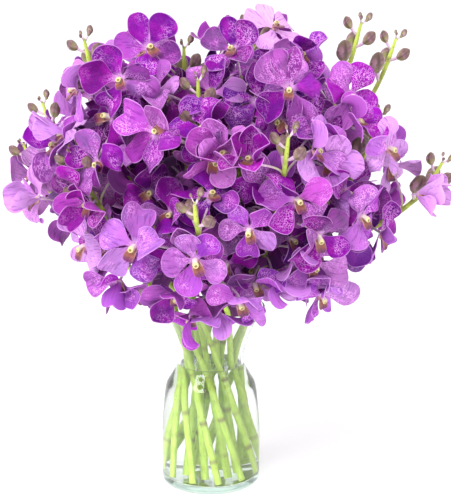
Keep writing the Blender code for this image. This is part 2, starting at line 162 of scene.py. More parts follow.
class Shader:
    """A material whose nodes are made by name, with sockets or plain values as inputs. Colours are
    laid over each other, the first one underneath.
    """

    def __init__(self, name, colour=None):
        self.colour = colour
        self.material = bpy.data.materials.new(name)
        self.material.use_nodes = True
        self.tree = self.material.node_tree
        self.surface = self.tree.nodes["Principled BSDF"]

    def add(self, kind, inputs=None, output=0, **settings):
        made = self.tree.nodes.new("ShaderNode" + kind)
        for key, value in settings.items():
            setattr(made, key, value)
        self.fill(made, inputs or {})
        return made.outputs[output]

    def fill(self, made, inputs):
        for key, value in inputs.items():
            socket = made.inputs[key]
            if isinstance(value, bpy.types.NodeSocket):
                self.tree.links.new(value, socket)
            else:
                socket.default_value = value

    def set(self, **inputs):
        self.fill(self.surface, {key.replace("_", " "): value for key, value in inputs.items()})

    def noise(self, place, scale, detail=2.0, output=0):
        return self.add("TexNoise", {"Vector": place, "Scale": scale, "Detail": detail}, output)

    def attribute(self, name):
        return self.add("Attribute", output=1, attribute_name=name)

    def parts(self, name):
        split = self.tree.nodes.new("ShaderNodeSeparateXYZ")
        self.tree.links.new(self.attribute(name), split.inputs[0])
        return split.outputs

    def mix(self, factor, low, high, blend="MIX"):
        made = self.tree.nodes.new("ShaderNodeMix")
        made.data_type = "RGBA"
        made.blend_type = blend
        for index, value in ((0, factor), (6, low), (7, high)):
            if isinstance(value, bpy.types.NodeSocket):
                self.tree.links.new(value, made.inputs[index])
            elif index:
                made.inputs[index].default_value = (*value, 1.0)
            else:
                made.inputs[index].default_value = value
        return made.outputs[2]

    def math(self, operation, first, second):
        return self.add("Math", {0: first, 1: second}, operation=operation)

    def times(self, first, second):
        return self.math("MULTIPLY", first, second)

    def ramp(self, value, low, high, start=0.0, end=1.0):
        """value mapped from low..high to start..end, smoothly and clamped."""
        inputs = {0: value, 1: low, 2: high, 3: start, 4: end}
        return self.add("MapRange", inputs, interpolation_type="SMOOTHSTEP")

    def lay(self, factor, colour):
        self.colour = self.mix(factor, self.colour, colour)

    def paint(self, value, low, high, colour, most=1.0):
        """Lays a colour on, from none of it where value is low up to most where it is high."""
        self.lay(self.ramp(value, low, high, 0.0, most), colour)

    def bump(self, height, strength, distance):
        normal = self.add("Bump", {"Height": height, "Strength": strength, "Distance": distance})
        self.set(Normal=normal)

    def finish(self, grain, smoothest, roughest, height, strength, distance, **inputs):
        """The laid colours, a roughness that follows the grain, and a bump. Returns the material."""
        roughness = self.ramp(grain, 0.2, 0.8, smoothest, roughest)
        self.set(Base_Color=self.colour, Roughness=roughness, **inputs)
        self.bump(height, strength, distance)
        return self.material


def tepal_material():
    shader = Shader("tepal")
    place = shader.attribute("petal")
    along, edge, side = shader.parts("look")
    # Depth and paleness are each flower's own tone, plus painted shade on the inner fillers and a painted
    # highlight on fillers at the bouquet's sides
    depth, hue, pale = shader.parts("tone")
    violet = shader.mix(depth, (0.31, 0.010, 0.64), (0.045, 0.001, 0.13))
    magenta = shader.mix(depth, (0.52, 0.006, 0.54), (0.12, 0.001, 0.11))
    shader.colour = shader.mix(hue, violet, magenta)
    cloud = shader.noise(place, 70.0, 3.0)
    warm = shader.mix(0.5, shader.colour, (0.42, 0.006, 0.42))
    shader.paint(cloud, 0.38, 0.68, warm)
    shader.lay(pale, (0.84, 0.50, 0.90))

    wobble = shader.noise(place, 420.0, 1.0, output=1)
    warped = shader.add("VectorMath", {0: wobble, 3: 0.0009}, operation="SCALE")
    warped = shader.add("VectorMath", {0: place, 1: warped}, operation="ADD")
    net = {"Vector": warped, "Scale": 520.0}
    cells = shader.add("TexVoronoi", net, feature="DISTANCE_TO_EDGE")
    net = shader.ramp(cells, 0.03, 0.15, 1.0, 0.0)
    net = shader.times(net, shader.ramp(shader.noise(place, 330.0), 0.36, 0.50))
    patch = shader.noise(place, 34.0)
    spread = shader.times(shader.ramp(along, 1.08, 0.70), shader.ramp(edge, 1.0, 0.80))
    spread = shader.times(spread, shader.ramp(patch, 0.40, 0.60, 0.04, 1.0))
    front = shader.math("SUBTRACT", 1.0, shader.times(side, 0.8))
    net = shader.times(shader.times(net, spread), front)
    net = shader.times(net, shader.ramp(depth, 0.55, 1.0, 0.80, 0.45))
    shader.lay(net, (0.88, 0.42, 0.92))

    lines = shader.add("Mapping", {"Vector": place, "Scale": (0.16, 1.0, 1.0)})
    veins = shader.noise(lines, 620.0)
    shader.paint(veins, 0.52, 0.66, (0.09, 0.003, 0.14), 0.42)
    # A pale band along each tepal's edge: partly the tepal's own pale margin, partly a painted rim
    # highlight
    shader.paint(edge, 0.94, 1.0, (0.86, 0.50, 0.94), 0.40)
    shader.paint(along, 0.22, 0.02, (0.78, 0.46, 0.80), 0.6)
    back = shader.ramp(depth, 0.40, 0.90, 0.20, 0.02)
    shader.lay(side, shader.mix(back, shader.colour, (0.74, 0.30, 0.90)))
    height = shader.math("ADD", shader.times(cells, 0.4), veins)
    return shader.finish(
        cloud, 0.42, 0.58, height, 0.55, 0.0004,
        Specular_IOR_Level=0.10,
        Subsurface_Weight=0.08,
        Subsurface_Radius=(0.6, 0.15, 0.7),
        Subsurface_Scale=0.0012,
    )


def column_material():
    shader = Shader("column", (0.84, 0.78, 0.62))
    along, _, _ = shader.parts("look")
    cloud = shader.noise(shader.attribute("petal"), 600.0, 3.0)
    shader.paint(cloud, 0.35, 0.7, (0.80, 0.66, 0.66))
    shader.paint(along, 0.30, 0.0, (0.62, 0.30, 0.55))
    shader.paint(along, 0.58, 0.80, (0.72, 0.66, 0.24), 0.8)
    shader.paint(along, 0.90, 0.98, (0.22, 0.13, 0.03), 0.85)
    return shader.finish(cloud, 0.30, 0.45, cloud, 0.3, 0.0002)


def lip_material():
    shader = Shader("lip", (0.07, 0.010, 0.045))
    along, edge, _ = shader.parts("look")
    cloud = shader.noise(shader.attribute("petal"), 500.0, 3.0)
    shader.paint(cloud, 0.35, 0.65, (0.20, 0.025, 0.14))
    shader.paint(along, 0.75, 0.35, (0.30, 0.105, 0.075))
    shader.paint(along, 0.35, 0.05, (0.74, 0.50, 0.40), 0.85)
    shader.paint(edge, 0.85, 1.0, (0.52, 0.24, 0.34), 0.4)
    return shader.finish(cloud, 0.28, 0.42, cloud, 0.4, 0.0003)


def stem_material():
    shader = Shader("stem", (0.46, 0.68, 0.07))
    place = shader.attribute("petal")
    along, edge, _ = shader.parts("look")
    stretched = shader.add("Mapping", {"Vector": place, "Scale": (1.0, 1.0, 0.12)})
    streaks = shader.noise(stretched, 900.0, 3.0)
    patches = shader.noise(place, 60.0)
    shader.paint(streaks, 0.3, 0.7, (0.60, 0.80, 0.17))
    shader.paint(patches, 0.50, 0.72, (0.32, 0.50, 0.04), 0.5)
    shader.paint(along, 0.55, 0.80, (0.46, 0.56, 0.10), 0.75)
    redder = shader.ramp(patches, 0.45, 0.60)
    blush = shader.times(redder, shader.ramp(along, 0.60, 0.80, 0.0, 0.6))
    shader.lay(blush, (0.16, 0.13, 0.045))
    shader.paint(along, 0.90, 0.98, (0.58, 0.72, 0.12), 0.8)
    specks = shader.add("TexVoronoi", {"Vector": place, "Scale": 260.0})
    shader.paint(specks, 0.20, 0.08, (0.16, 0.18, 0.03), 0.65)
    shader.lay(shader.times(edge, 0.85), (0.20, 0.17, 0.05))
    return shader.finish(
        streaks, 0.32, 0.50, streaks, 0.35, 0.0004,
        Specular_IOR_Level=0.25,
        Subsurface_Weight=0.10,
        Subsurface_Radius=(0.4, 0.8, 0.2),
        Subsurface_Scale=0.002,
    )


def pedicel_material():
    shader = Shader("pedicel", (0.50, 0.60, 0.16))
    along, _, _ = shader.parts("look")
    cloud = shader.noise(shader.attribute("petal"), 400.0)
    shader.paint(along, 0.0, 0.65, (0.74, 0.54, 0.72))
    shader.paint(cloud, 0.35, 0.7, (0.52, 0.26, 0.46), 0.6)
    return shader.finish(cloud, 0.35, 0.5, cloud, 0.3, 0.0003)


def bud_material():
    shader = Shader("bud", (0.32, 0.33, 0.10))
    place = shader.attribute("petal")
    along, edge, _ = shader.parts("look")
    shader.paint(along, 0.10, 0.80, (0.17, 0.08, 0.10))
    shader.paint(shader.noise(place, 220.0, 3.0), 0.42, 0.64, (0.48, 0.27, 0.35), 0.8)
    shader.paint(along, 0.62, 0.98, (0.13, 0.085, 0.05), 0.85)
    # Darker along the creases where the bud's tepals fold over each other: painted shade in the creases
    shader.lay(shader.times(edge, 0.7), (0.07, 0.03, 0.04))
    fine = shader.noise(place, 1400.0)
    return shader.finish(fine, 0.38, 0.55, fine, 0.3, 0.0003)


def cut_material():
    shader = Shader("cut_end", (0.44, 0.50, 0.22))
    fibres = shader.add("TexVoronoi", {"Vector": shader.attribute("petal"), "Scale": 2200.0})
    shader.paint(fibres, 0.1, 0.5, (0.74, 0.78, 0.50))
    shader.set(Base_Color=shader.colour, Roughness=0.55)
    shader.bump(fibres, 0.3, 0.0003)
    return shader.material


def clear_shader(name, colour, ior, scale, strength):
    """What glass and water share: a smooth clear surface with a slight ripple."""
    shader = Shader(name)
    ripple = shader.noise(shader.add("TexCoord", output=3), scale, 1.0)
    shader.set(Base_Color=(*colour, 1.0), Roughness=0.0, IOR=ior, Transmission_Weight=1.0)
    shader.bump(ripple, strength, 0.0010)
    return shader


def glass_material():
    shader = clear_shader("clear_glass", (0.985, 1.0, 0.99), 1.48, 22.0, 0.10)
    tint = shader.add("VolumeAbsorption", {"Color": (0.70, 0.95, 0.86, 1.0), "Density": 9.0})
    shader.tree.links.new(tint, shader.tree.nodes["Material Output"].inputs["Volume"])
    return shader.material


def water_material():
    return clear_shader("water", (0.99, 1.0, 0.995), 1.333, 30.0, 0.06).material


def floor_material():
    shader = Shader("studio_floor")
    grain = shader.noise(shader.add("TexCoord", output=3), 40.0)
    colour = shader.mix(grain, (0.97, 0.97, 0.97), (0.985, 0.985, 0.985))
    shader.set(Base_Color=colour, Roughness=0.9)
    return shader.material


# -------- mesh making


def smooth(low, high, value):
    """0 below low, 1 above high, and a smooth step between them."""
    share = np.clip((value - low) / (high - low), 0.0, 1.0)
    return share * share * (3 - 2 * share)


def grid_of(*values):
    """Arrays of rows and columns, or what broadcasts to them, as one grid of points."""
    return np.stack(np.broadcast_arrays(*values), axis=-1)


def moved(points, matrix):
    return points @ np.array(matrix.to_3x3()).T + np.array(matrix.translation)


def linked(name, data):
    """A new object of this data, in the scene."""
    made = bpy.data.objects.new(name, data)
    bpy.context.scene.collection.objects.link(made)
    return made


def ring_angles(sides):
    return np.arange(sides) / sides * 2 * np.pi


def ring_faces(count, sides, both_ends=False):
    """The faces that join count rings of points, closed at the last ring or at both ends."""
    faces = []
    for i in range(count - 1):
        near, far = i * sides, (i + 1) * sides
        for j in range(sides):
            k = (j + 1) % sides
            faces.append((near + j, near + k, far + k, far + j))
    faces.append(tuple(range((count - 1) * sides, count * sides)))
    if both_ends:
        faces.append(first_cap(sides))
    return faces


def first_cap(sides):
    return tuple(range(sides - 1, -1, -1))


def padded(points):
    """The points with one more at each end, straight on, so that a curve can run through them all."""
    return [points[0] * 2 - points[1], *points, points[-1] * 2 - points[-2]]


class Body:
    """Grows one mesh out of shells and tubes. Each point carries what the materials read: its
    place on the flat petal, its look (shares along and to the edge, and its side) and its tone.
    """

    ASIDE = (0.31, 0.86, 0.40)

    def __init__(self, surfaces):
        self.surfaces = surfaces
        self.points, self.faces, self.slots = [], [], []
        self.petal, self.look, self.tones = [], [], []
        self.tone = (0.5, 0.5, 0.0)

    def extend(self, points, faces, surface, petal, look):
        start = len(self.points)
        self.points += [tuple(p) for p in points]
        self.faces += [tuple(start + i for i in face) for face in faces]
        self.slots += [self.surfaces.index(surface)] * len(faces)
        self.petal += [tuple(p) for p in petal]
        self.look += [tuple(p) for p in look]
        self.tones += [self.tone] * len(points)

    def shell(self, grid, thickness, surface, petal, look):
        """A thin closed sheet from a grid of points (rows, columns, 3), thickened behind."""
        rows, columns = grid.shape[:2]
        normal = np.cross(np.gradient(grid, axis=0), np.gradient(grid, axis=1))
        length = np.linalg.norm(normal, axis=2, keepdims=True)
        normal = -normal / np.maximum(length, 1e-12)
        count = rows * columns
        behind = grid - normal * thickness
        points = np.concatenate([grid.reshape(-1, 3), behind.reshape(-1, 3)])
        index = np.arange(count).reshape(rows, columns)
        near = [index[:-1, :-1], index[:-1, 1:], index[1:, 1:], index[1:, :-1]]
        front = np.stack(near, axis=-1).reshape(-1, 4)
        rim = np.concatenate([index[0, :-1], index[:-1, -1], index[-1, :0:-1], index[:0:-1, 0]])
        after = np.roll(rim, -1)
        sides = np.stack([rim, rim + count, after + count, after], axis=-1)
        faces = np.concatenate([front, front[:, ::-1] + count, sides])
        look = look.reshape(-1, 2)
        looks = np.concatenate([np.c_[look, np.zeros(count)], np.c_[look, np.ones(count)]])
        petals = np.concatenate([petal.reshape(-1, 3)] * 2)
        self.extend(points, faces.tolist(), surface, petals, looks)

    def tube(self, path, radii, sides, surface, edge=None, start=0.0, cap=None):
        """A closed tube along a path, with rings that don't twist. edge darkens some of them."""
        path = np.asarray(path, float)
        count = len(path)
        tangent = np.gradient(path, axis=0)
        tangent /= np.linalg.norm(tangent, axis=1, keepdims=True)
        across = np.cross(tangent[0], self.ASIDE)
        rings, petals, looks = [], [], []
        turn = ring_angles(sides)
        length = np.concatenate([[0], np.cumsum(np.linalg.norm(np.diff(path, axis=0), axis=1))])
        for i in range(count):
            across = across - tangent[i] * (across @ tangent[i])
            across /= np.linalg.norm(across)
            over = np.cross(tangent[i], across)
            circle = np.outer(np.cos(turn), across) + np.outer(np.sin(turn), over)
            rings.append(path[i] + circle * radii[i])
            flat = np.cos(turn) * radii[i], np.sin(turn) * radii[i]
            petals.append(np.c_[(*flat, length[i] + 0 * turn + start)])
            share = length[i] / length[-1]
            dark = 0.0 if edge is None else edge[i]
            looks.append(np.tile((share, dark, 0.0), (sides, 1)))
        self.extend_rings(rings, ring_faces(count, sides), surface, petals, looks)
        self.extend(rings[0], [first_cap(sides)], cap or surface, petals[0], looks[0])

    def extend_rings(self, rings, faces, surface, petals, looks):
        petals, looks = np.concatenate(petals), np.concatenate(looks)
        self.extend(np.concatenate(rings), faces, surface, petals, looks)

    def finish(self, name):
        mesh = bpy.data.meshes.new(name)
        mesh.from_pydata(self.points, [], self.faces)
        for surface in self.surfaces:
            mesh.materials.append(surface)
        mesh.polygons.foreach_set("material_index", self.slots)
        for key, values in (("petal", self.petal), ("look", self.look), ("tone", self.tones)):
            layer = mesh.attributes.new(key, "FLOAT_VECTOR", "POINT")
            layer.data.foreach_set("vector", np.asarray(values, float).ravel())
        mesh.shade_smooth()
        mesh.set_sharp_from_angle(angle=math.radians(60))
        mesh.update()
        return linked(name, mesh)


# -------- flowers


def node_points(node):
    return np.array([tuple(v.co) for v in nodes[node].data.vertices])


def tepal_tips(points, middle):
    """The middles of a CAD flower's tepal tips: its farthest points, each taken with those close to it."""
    left = points.copy()
    tips = []
    for _ in TEPALS:
        farthest = left[np.argmax(np.linalg.norm(left - middle, axis=1))]
        close = np.linalg.norm(points - farthest, axis=1) < TIP_SIZE
        tips.append(points[close].mean(axis=0))
        left = left[np.linalg.norm(left - farthest, axis=1) > TIP_APART]
    return np.array(tips)


def flower_place(node):
    """(matrix, reach, rise) of a CAD flower: its throat's middle with +Z along its facing and +Y to
    its dorsal tepal, how far out its tepals' tips stand, and how far forward. A circle is fitted
    through the tips, and the dorsal tepal is the one with the least room beside it.
    """
    points = node_points(node)
    middle = points.mean(axis=0)
    tips = tepal_tips(points, middle)
    centre = tips.mean(axis=0)
    across, _, normal = np.linalg.svd(tips - centre)[2]
    if (centre - middle) @ normal < 0:
        normal = -normal
    over = np.cross(normal, across)
    flat = np.c_[(tips - centre) @ across, (tips - centre) @ over]
    fit = np.linalg.lstsq(np.c_[2 * flat, np.ones(5)], (flat**2).sum(axis=1), rcond=None)[0]
    hub = centre + across * fit[0] + over * fit[1]
    reach = math.sqrt(fit[2] + fit[0] ** 2 + fit[1] ** 2)
    angles = np.arctan2(flat[:, 1] - fit[1], flat[:, 0] - fit[0])
    order = np.argsort(angles)
    gaps = np.diff(np.r_[angles[order], angles[order[0]] + 2 * np.pi])
    dorsal = order[np.argmin(gaps + np.roll(gaps, 1))]
    back = ((points - hub) @ normal).min() + TEPAL_THICKNESS
    throat = hub + normal * back
    up = tips[dorsal] - hub
    up -= normal * (up @ normal)
    up = Vector(up).normalized()
    facing = Vector(normal)
    turn = Matrix((up.cross(facing), up, facing)).transposed().to_4x4()
    return Matrix.Translation(throat) @ turn, reach, -back


def facing_matrix(centre, facing, roll):
    right = Vector((0, 0, 1)).cross(facing).normalized()
    turn = Matrix((right, facing.cross(right), facing)).transposed()
    turn = turn @ Matrix.Rotation(roll, 3, "Z")
    return Matrix.Translation(centre) @ turn.to_4x4()


# By angle: widest half as a share of length, claw as a share of that, and how far it stands behind
TEPALS = {
    -50: (0.435, 0.22, 0.0012),
    230: (0.435, 0.22, 0.0014),
    90: (0.405, 0.24, 0.0007),
    27: (0.460, 0.17, -0.0005),
    153: (0.460, 0.17, -0.0005),
}
TIP_SIZE = 0.0022
TIP_APART = 0.0045
ROWS, COLUMNS = 15, 9


def add_tepal(body, angle, reach, rise, wild, draw, matrix):
    """One tepal, grown along a bent midline and folded across it. wild is how far it may leave the
    CAD's shape, and above 1 it may also fold forward as a whole.
    """
    broad, claw, behind = TEPALS[angle]
    t = np.linspace(0.0, 1.0, ROWS)
    s = 1 - (1 - t) ** 1.4 * 0.97
    across = np.linspace(-1.0, 1.0, COLUMNS)
    across = np.sign(across) * (1 - (1 - np.abs(across)) ** 1.2)
    length = math.hypot(reach, rise) * draw.uniform(0.95, 1.07)
    closed = min(rise / reach, 1.0)

    widest = draw.uniform(0.60, 0.70)
    width = claw + (1 - claw) * smooth(0.10, widest, s)
    rounding = np.clip((s - widest) / (1.0 - widest), 0.0, 1.0)
    width = width * np.sqrt(np.maximum(1 - rounding**2.2, 0.0012))
    half = length * broad * draw.uniform(0.88, 1.10) * (1.0 - 0.22 * closed)

    pitch = math.atan2(rise, reach) + draw.uniform(-0.32, 0.24) * wild
    if wild > 1.0 and draw.random() < FOLDED_SHARE * wild:
        pitch = pitch + draw.uniform(0.45, 0.95)
    pitch = pitch + draw.uniform(-0.30, 0.55) * (0.45 - s)
    pitch = pitch - draw.uniform(-0.35, 1.15) * wild * smooth(0.50, 1.0, s) + closed * 0.5 * (s - 0.5)
    step = np.diff(s, prepend=0.0) * length
    out = 0.0014 + np.cumsum(np.cos(pitch) * step)
    up = np.cumsum(np.sin(pitch) * step)

    fold = draw.uniform(-0.75, 0.55) * wild + 0.7 * closed
    fold = fold * (0.35 + 0.65 * s[:, None]) * np.abs(across) ** 1.7
    wave = draw.uniform(0.03, 0.12)
    beat, phase = draw.uniform(7.0, 13.0), draw.uniform(0, 6.28)
    ripple = wave * np.sin(beat * s[:, None] + phase + np.sign(across) * 1.4) * across**2
    crease = 0.05 * np.exp(-((across / 0.14) ** 2)) * np.sin(np.pi * s[:, None])
    x = across * width[:, None] * half
    n = (fold + ripple - crease) * width[:, None] * half
    twist = math.radians(draw.uniform(-42, 42)) * wild * smooth(0.05, 0.9, s)[:, None]
    x, n = x * np.cos(twist) - n * np.sin(twist), x * np.sin(twist) + n * np.cos(twist)
    y = out[:, None] - np.sin(pitch)[:, None] * n
    z = up[:, None] + np.cos(pitch)[:, None] * n - behind
    turn = math.radians(angle - 90 + draw.uniform(-7, 7) * wild)
    turn = turn + math.radians(draw.uniform(-12, 12)) * wild * s[:, None]
    x, y = x * np.cos(turn) - y * np.sin(turn), x * np.sin(turn) + y * np.cos(turn)
    grid = moved(grid_of(x, y, z), matrix)

    along = s[:, None]
    petal = grid_of(along * length, across * width[:, None] * half, draw.uniform(0, 0.5))
    edge = np.maximum(np.abs(across), smooth(0.80, 1.0, along))
    body.shell(grid, TEPAL_SHEET, SURFACES["tepal"], petal, grid_of(along, edge))


COLUMN_RINGS = (  # share along, radius, forward, down
    (0.00, 0.0026, -0.0006, 0.0000), (0.18, 0.0024, 0.0016, 0.0000), (0.36, 0.0021, 0.0036, 0.0001),
    (0.54, 0.0021, 0.0054, 0.0004), (0.70, 0.0024, 0.0070, 0.0010), (0.84, 0.0022, 0.0082, 0.0017),
    (0.91, 0.0016, 0.0086, 0.0021), (0.96, 0.0010, 0.0081, 0.0019), (1.00, 0.0003, 0.0074, 0.0017),
)


def add_column(body, matrix, size):
    """The short thick column, ending in a cap with a hollow."""
    sides = 12
    turn = ring_angles(sides)
    rings, looks = [], []
    for share, radius, forward, down in COLUMN_RINGS:
        x, y = np.cos(turn) * radius * 1.08, np.sin(turn) * radius - down
        rings.append(np.c_[x, y, 0 * turn + forward] * size)
        looks.append(np.tile((share, 0.0, 0.0), (sides, 1)))
    faces = ring_faces(len(rings), sides, both_ends=True)
    body.extend_rings([moved(ring, matrix) for ring in rings], faces, SURFACES["column"], rings, looks)


def add_lip(body, matrix, size, draw):
    """The lip below the column: a tongue with two ridges that curves down and forward."""
    along = np.linspace(0.0, 1.0, 9)[:, None]
    across = np.linspace(-1.0, 1.0, 7)[None, :]
    length = LIP_LENGTH * size * draw.uniform(0.9, 1.1)
    swelling = np.sin(np.pi * np.clip(along * 0.9 + 0.08, 0, 1)) ** 0.8
    half = LIP_HALF_WIDTH * size * (0.55 + 0.55 * swelling)
    half = half * np.sqrt(np.maximum(1 - np.clip((along - 0.72) / 0.28, 0, 1) ** 2.2, 0.02))
    arc = along * 1.7
    x = across * half
    y = -0.0016 * size - length * np.sin(arc * 0.62) * 0.80
    z = 0.0006 * size + length * (0.62 * np.sin(arc * 0.9) - 0.10 * along)
    z = z + 0.0030 * size * across**2 * (1 - along) ** 0.6
    ridges = np.exp(-(((np.abs(across) - 0.3) / 0.16) ** 2))
    z = z + 0.0010 * size * ridges * np.sin(np.pi * along)
    grid = moved(grid_of(x, y, z), matrix)
    petal, look = grid_of(along * length, x, 0.0), grid_of(along, np.abs(across))
    body.shell(grid, -0.0009 * size, SURFACES["lip"], petal, look)


def add_lobe(body, matrix, size, hand):
    """One of the lip's two side lobes, which stand up beside the column. hand is -1 or 1."""
    along = np.linspace(0.0, 1.0, 6)[:, None]
    across = np.linspace(-1.0, 1.0, 5)[None, :]
    tall = LOBE_HEIGHT * size
    wide = LOBE_HALF_WIDTH * size * np.sqrt(np.maximum(1 - along**2.4, 0.03))
    x = hand * (0.0028 * size + 0.0008 * size * along - 0.0006 * size * across**2)
    y = -0.0020 * size + across * wide
    z = 0.0004 * size + tall * along
    grid = moved(grid_of(x, y, z), matrix)
    petal, look = grid_of(tall * along, across * wide, 0.3), grid_of(0.35 * along, np.abs(across))
    body.shell(grid, 0.0007 * size * hand, SURFACES["lip"], petal, look)


def varied(draw, value, below, above):
    return min(max(value + draw.uniform(-below, above), 0.0), 1.0)


def make_flower(name, matrix, reach, rise, tone, seed, wild):
    """A whole flower. Its tepals' tips stand reach out and rise forward, and each has its own tone."""
    draw = random.Random(seed)
    body = Body([SURFACES["tepal"], SURFACES["column"], SURFACES["lip"]])
    depth, hue, pale = tone
    for angle in TEPALS:
        body.tone = (
            varied(draw, depth, 0.26, 0.26),
            varied(draw, hue, 0.22, 0.22),
            varied(draw, pale, 0.20, 0.16),
        )
        add_tepal(body, angle, reach, rise, wild, draw, matrix)
    size = draw.uniform(0.95, 1.15)
    add_column(body, matrix, size)
    add_lip(body, matrix, size, draw)
    for hand in (-1, 1):
        add_lobe(body, matrix, size, hand)
    flower = body.finish(name)
    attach(flower, "root")
    return flower


# -------- sprays


def on_circle(radius, angle, height):
    return Vector((radius * math.cos(angle), radius * math.sin(angle), height))


def bezier(start, leave, arrive, end, share):
    rest = 1.0 - share
    leaving = start * rest**3 + leave * (3 * rest**2 * share)
    return leaving + arrive * (3 * rest * share**2) + end * share**3


def placed(spot):
    return Vector(spot) + Vector((0, 0, VASE_HEIGHT))


def mouth_circle():
    """How far out the outer stems stand at the mouth: as far as the flare lets them lean."""
    slopes = []
    for radius, height in vase_outside():
        if height > BIND_HEIGHT:
            free = radius - VASE_WALL - STEM_NECK_RADIUS - FLARE_CLEARANCE
            slopes.append((free - BIND_CIRCLE) / (height - BIND_HEIGHT))
    return BIND_CIRCLE + min(slopes) * (MOUTH_HEIGHT - BIND_HEIGHT)


def stem_route(ring, place, tip, steps=8):
    angle = math.radians(ring["start"]) + 2 * math.pi / ring["stems"] * place
    standing = VASE_FLOOR + GAP + STEM_FOOT_RADIUS * 0.35
    foot = on_circle(FOOT_CIRCLE * ring["foot"], angle + FOOT_TWIST, standing)
    bind = on_circle(BIND_CIRCLE * ring["bind"], angle, BIND_HEIGHT)
    mouth = on_circle(mouth_circle() * ring["mouth"], angle + MOUTH_TWIST, MOUTH_HEIGHT)
    tip = placed(tip)
    reach = (tip - mouth).length
    outward = Vector((tip.x, tip.y, 0.0)) - Vector((mouth.x, mouth.y, 0.0))
    lean = outward.length / reach
    leaving = (outward.normalized() * lean * 1.05 + Vector((0, 0, 0.85))).normalized()
    arriving = (outward.normalized() * lean * 0.45 + Vector((0, 0, 0.90))).normalized()
    leave = mouth + leaving * (reach * 0.36)
    arrive = tip - arriving * (reach * 0.32)
    above = [bezier(mouth, leave, arrive, tip, i / steps) for i in range(1, steps + 1)]
    return [foot, bind, mouth, *above]


def point_along(route, back):
    left = back
    for near, far in zip(reversed(route[1:]), reversed(route[:-1])):
        span = (near - far).length
        if left <= span:
            return near + (far - near) * (left / span), (near - far).normalized()
        left -= span
    return route[0].copy(), (route[1] - route[0]).normalized()


def pedicel_start(route, bloom_back):
    step = 0.004
    spots = [point_along(route, 0.010 + step * i) for i in range(60)]
    distances = [(place - bloom_back).length for place, _ in spots]
    nearest = distances.index(min(distances))
    below = round(distances[nearest] * PEDICEL_LEAN / step)
    return spots[min(nearest + below, len(spots) - 1)]


def pedicel_path(route, bloom_back, facing, count):
    start, axis = pedicel_start(route, bloom_back)
    reach = (bloom_back - start).length
    leave = start + axis * (reach * 0.30) + (bloom_back - start) * 0.12
    arrive = bloom_back - facing * (reach * 0.34)
    return [bezier(start, leave, arrive, bloom_back, i / (count - 1)) for i in range(count)]


def smooth_route(route):
    """The route as a fine curve: straight to the binding, then through every point without a corner."""
    points = [route[0], route[0].lerp(route[1], 0.5), *route[1:]]
    through = padded(points)
    fine = []
    for a, b, c, d in zip(through, through[1:], through[2:], through[3:]):
        steps = max(3, round((c - b).length / 0.004))
        bend = 2 * a - 5 * b + 4 * c - d
        swing = 3 * b - a - 3 * c + d
        for i in range(steps):
            t = i / steps
            fine.append(0.5 * (2 * b + (c - a) * t + bend * t**2 + swing * t**3))
    fine.append(points[-1])
    return fine


def stalk_radius(share_above):
    """Tapers as the CAD stem does, and swells a little where the pedicels leave it."""
    taper = STEM_NECK_RADIUS + (STEM_TIP_RADIUS - STEM_NECK_RADIUS) * share_above
    return taper + STALK_SWELLING * smooth(0.2, 0.6, share_above) * smooth(1.0, 0.94, share_above)


def add_stalk(body, route, draw):
    path = smooth_route(route)
    heights = np.array([p.z for p in path])
    length = np.concatenate([[0], np.cumsum([(b - a).length for a, b in zip(path, path[1:])])])
    bound = length[np.argmin(np.abs(heights - BIND_HEIGHT))]
    share = np.clip((length - bound) / (length[-1] - bound), 0, 1)
    radii = np.where(
        length < bound,
        STEM_FOOT_RADIUS + (STEM_NECK_RADIUS - STEM_FOOT_RADIUS) * length / bound,
        stalk_radius(share),
    )
    edge = np.zeros(len(path))
    place = draw.uniform(0.02, 0.045)
    while place < length[-1] - 0.02:
        near = np.exp(-(((length - place) / 0.0022) ** 2))
        radii = radii + 0.00038 * near
        edge = np.maximum(edge, np.exp(-(((length - place - 0.0012) / 0.0014) ** 2)))
        place += draw.uniform(0.032, 0.050)
    start = draw.uniform(0, 1)
    body.tube(path, radii, 14, SURFACES["stem"], edge=edge, start=start, cap=SURFACES["cut"])


def bud_body(body, neck, heading, out, radius):
    """An egg-shaped bud on its neck, creased where its tepals fold over each other, its tip bent."""
    shares = (0.0, 0.07, 0.20, 0.38, 0.56, 0.74, 0.88, 0.96, 1.0)
    swell = (0.30, 0.50, 0.80, 1.02, 1.08, 0.94, 0.62, 0.32, 0.08)
    length = radius * 3.1
    over = heading.cross(out).normalized()
    sides = 15
    turn = ring_angles(sides)
    crease = np.clip(np.cos(turn * 3), 0, 1) ** 6
    seam = 1 - 0.11 * crease
    flat = np.outer(np.cos(turn) * seam, tuple(out)) * 1.08
    flat = flat + np.outer(np.sin(turn) * seam, tuple(over)) * 0.92
    rings, petals, looks = [], [], []
    for share, wide in zip(shares, swell):
        middle = neck + heading * (length * (share - 0.02)) + out * (radius * 0.45 * share**2)
        rings.append(np.array(middle) + flat * wide * radius)
        petals.append(np.c_[np.cos(turn) * radius, np.sin(turn) * radius, length * share + 0 * turn])
        # The creases go on to the bud's material, which paints shade in them
        looks.append(np.c_[share + 0 * turn, crease, 0 * turn])
    faces = ring_faces(len(rings), sides, both_ends=True)
    body.extend_rings(rings, faces, SURFACES["bud"], petals, looks)


def add_bud(body, route, back, turn, radius, draw):
    """A bud on its own short pedicel, which widens into it and leaves the stem back below its tip."""
    start, axis = point_along(route, back)
    side = axis.orthogonal().normalized()
    side.rotate(Matrix.Rotation(turn, 3, axis))
    heading = (axis * draw.uniform(0.65, 0.95) + side * draw.uniform(0.65, 0.95)).normalized()
    stalk = 0.0030 + radius * 1.3
    bend = start + side * (stalk * 0.5) + axis * (stalk * 0.35)
    neck = bend + heading * (stalk * 0.6)
    path = [bezier(start, bend, bend, neck, i / 7) for i in range(8)]
    radii = np.linspace(PEDICEL_RADIUS * 0.8, radius * 0.34, 8) * (radius / BUD_SMALLEST) ** 0.2
    body.tube(path, radii, 8, SURFACES["pedicel"])
    out = heading.cross(side).cross(heading).normalized()
    bud_body(body, neck, heading, -out, radius)


